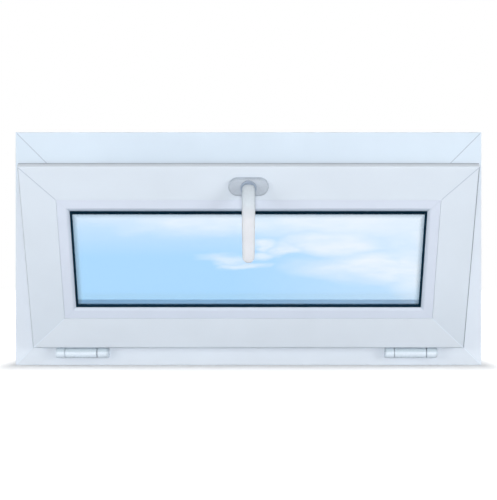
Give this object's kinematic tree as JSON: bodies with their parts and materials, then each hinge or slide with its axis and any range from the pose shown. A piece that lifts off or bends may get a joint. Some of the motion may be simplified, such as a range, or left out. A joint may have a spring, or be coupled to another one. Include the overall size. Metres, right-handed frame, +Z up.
{
  "type": "upvc window",
  "caption": "Low, wide white plastic window whose double-glazed sash is hinged at its foot and stands tilted open into the room.",
  "frame": {"origin": "centre of the frame's underside, on the sill face", "axes": "+X right as seen from the room, +Y towards the outside, +Z up"},
  "size_m": [0.8, 0.2563, 0.4],
  "materials": {
    "white_pvc": "satin",
    "dark_seal": "matt",
    "grey_seal": "matt",
    "glass": "polished",
    "spacer": "mill",
    "white_coat": "powder coat",
    "zinc_steel": "zinc plated",
    "plastic_cap": "moulded"
  },
  "bodies": {
    "root": {"frame_bottom_rail": "white_pvc", "frame_top_rail": "white_pvc", "frame_left_stile": "white_pvc", "frame_right_stile": "white_pvc", "sash_bottom_rail": "white_pvc", "sash_top_rail": "white_pvc", "sash_left_stile": "white_pvc", "sash_right_stile": "white_pvc", "glazing_bead_bottom": "white_pvc", "glazing_bead_right": "white_pvc", "glazing_bead_top": "white_pvc", "glazing_bead_left": "white_pvc", "frame_seal": "grey_seal", "sash_seal": "grey_seal", "bead_seal": "dark_seal", "outer_glazing_seal": "dark_seal", "inner_pane": "glass", "outer_pane": "glass", "spacer_bar": "spacer", "left_hinge_frame_leaf": "white_coat", "left_hinge_sash_leaf": "white_coat", "left_hinge_pin": "zinc_steel", "left_stay_bracket": "zinc_steel", "left_stay_arm": "zinc_steel", "left_stay_slider": "zinc_steel", "left_keep": "zinc_steel", "left_drain_cap": "plastic_cap", "right_hinge_frame_leaf": "white_coat", "right_hinge_sash_leaf": "white_coat", "right_hinge_pin": "zinc_steel", "right_stay_bracket": "zinc_steel", "right_stay_arm": "zinc_steel", "right_stay_slider": "zinc_steel", "right_keep": "zinc_steel", "right_drain_cap": "plastic_cap", "lock_faceplate": "zinc_steel", "lock_drive_bar": "zinc_steel", "handle_base": "white_coat", "handle_lever": "white_coat"}
  },
  "joints": []
}
